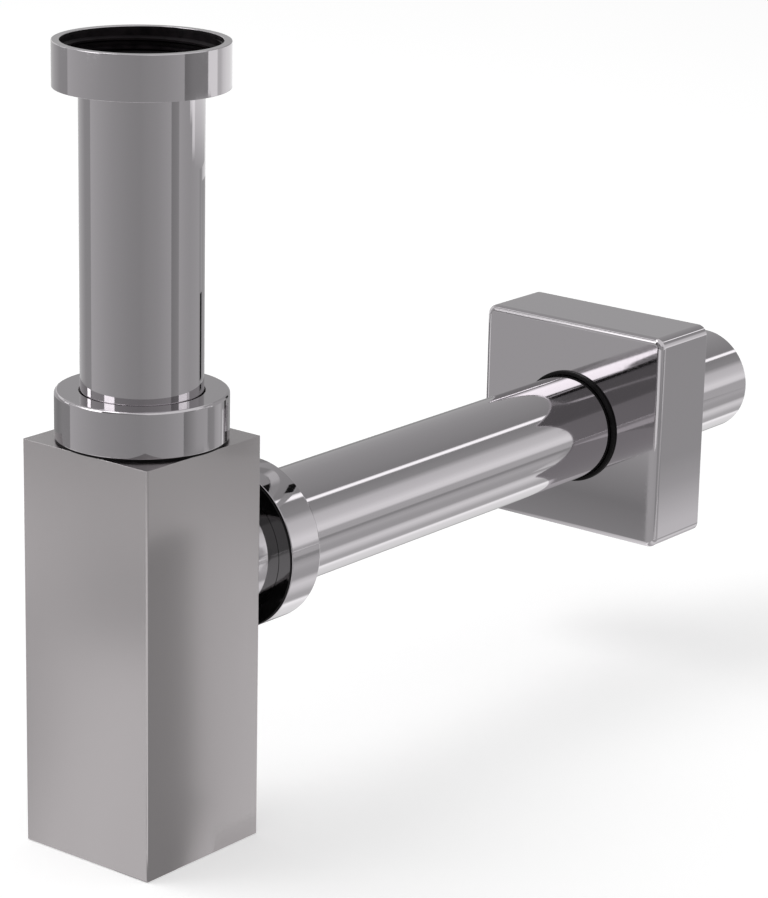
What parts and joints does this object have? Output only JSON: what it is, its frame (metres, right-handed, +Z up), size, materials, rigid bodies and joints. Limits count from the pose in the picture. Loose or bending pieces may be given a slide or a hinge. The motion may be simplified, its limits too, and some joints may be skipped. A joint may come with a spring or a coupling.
{
  "type": "square bottle drain trap",
  "caption": "Chrome washbasin bottle trap: square bottle, round slip nuts, straight inlet and outlet tubes and a square sliding wall flange.",
  "frame": {"origin": "on the inlet tube's axis, at the face of the inlet washer where the basin waste seats", "axes": "+Z up along the inlet tube, +Y out along the outlet tube into the wall, +X to the right seen along +Y"},
  "size_m": [0.0654, 0.2896, 0.215],
  "materials": {
    "polished_chrome": "polished chrome plating on brass",
    "satin_chrome": "finely brushed chrome plating on brass",
    "black_rubber": "smooth black rubber",
    "white_nylon": "plain off-white nylon"
  },
  "bodies": {
    "inlet": {"inlet_tube": "polished_chrome", "inlet_washer": "black_rubber"},
    "union_ring": {"inlet_thrust_ring": "white_nylon"},
    "union_nut": {"inlet_union_nut": "polished_chrome"},
    "neck_seal": {"neck_cone_seal": "black_rubber"},
    "bottle": {"body_shell": "satin_chrome", "neck_collar": "polished_chrome", "base_plate": "satin_chrome", "neck_washer": "black_rubber", "outlet_spigot": "polished_chrome", "outlet_washer": "black_rubber"},
    "neck_ring": {"neck_slip_ring": "white_nylon"},
    "neck_nut": {"neck_nut": "polished_chrome"},
    "plug_ring": {"plug_o_ring": "black_rubber"},
    "plug": {"cleaning_plug": "polished_chrome"},
    "outlet_seal": {"outlet_cone_seal": "black_rubber"},
    "outlet_pipe": {"outlet_tube": "polished_chrome"},
    "outlet_ring": {"outlet_slip_ring": "white_nylon"},
    "outlet_nut": {"outlet_nut": "polished_chrome"},
    "grommet": {"flange_ring": "black_rubber"},
    "flange": {"wall_flange": "polished_chrome"}
  },
  "joints": [
    {"name": "union_slide", "type": "slide", "parent": "inlet", "child": "union_ring", "axis": [0, 0, 1], "range_m": [-0.065, 0]},
    {"name": "union_turn", "type": "hinge", "parent": "union_ring", "child": "union_nut", "pos_m": [0, 0, 0], "axis": [0, 0, 1], "continuous": true},
    {"name": "trap_height", "type": "slide", "parent": "inlet", "child": "neck_seal", "axis": [0, 0, 1], "range_m": [-0.03, 0.003]},
    {"name": "trap_swivel", "type": "hinge", "parent": "neck_seal", "child": "bottle", "pos_m": [0, 0, 0], "axis": [0, 0, 1], "continuous": true},
    {"name": "neck_nut_rise", "type": "slide", "parent": "bottle", "child": "neck_ring", "axis": [0, 0, 1], "range_m": [0, 0.0093]},
    {"name": "neck_nut_turn", "type": "hinge", "parent": "neck_ring", "child": "neck_nut", "pos_m": [0, 0, 0], "axis": [0, 0, 1], "range_deg": [0, 1440]},
    {"name": "plug_drop", "type": "slide", "parent": "bottle", "child": "plug_ring", "axis": [0, 0, -1], "range_m": [0, 0.0031]},
    {"name": "plug_turn", "type": "hinge", "parent": "plug_ring", "child": "plug", "pos_m": [0, 0, 0], "axis": [0, 0, -1], "range_deg": [0, 720]},
    {"name": "outlet_swivel", "type": "hinge", "parent": "bottle", "child": "outlet_seal", "pos_m": [0, 0, -0.1357], "axis": [0, 1, 0], "continuous": true},
    {"name": "outlet_length", "type": "slide", "parent": "outlet_seal", "child": "outlet_pipe", "axis": [0, 1, 0], "range_m": [-0.004, 0.012]},
    {"name": "outlet_nut_travel", "type": "slide", "parent": "bottle", "child": "outlet_ring", "axis": [0, 1, 0], "range_m": [0, 0.0076]},
    {"name": "outlet_nut_turn", "type": "hinge", "parent": "outlet_ring", "child": "outlet_nut", "pos_m": [0, 0, -0.1357], "axis": [0, 1, 0], "range_deg": [0, 1170]},
    {"name": "flange_slide", "type": "slide", "parent": "outlet_pipe", "child": "grommet", "axis": [0, 1, 0], "range_m": [-0.13, 0.045]},
    {"name": "flange_turn", "type": "hinge", "parent": "grommet", "child": "flange", "pos_m": [0, 0, -0.1357], "axis": [0, 1, 0], "continuous": true}
  ],
  "couplings": [
    {"joint": "neck_nut_rise", "follows": "neck_nut_turn", "m_per_rad": 0.00036749},
    {"joint": "plug_drop", "follows": "plug_turn", "m_per_rad": 0.00023873},
    {"joint": "outlet_nut_travel", "follows": "outlet_nut_turn", "m_per_rad": 0.00036749}
  ]
}
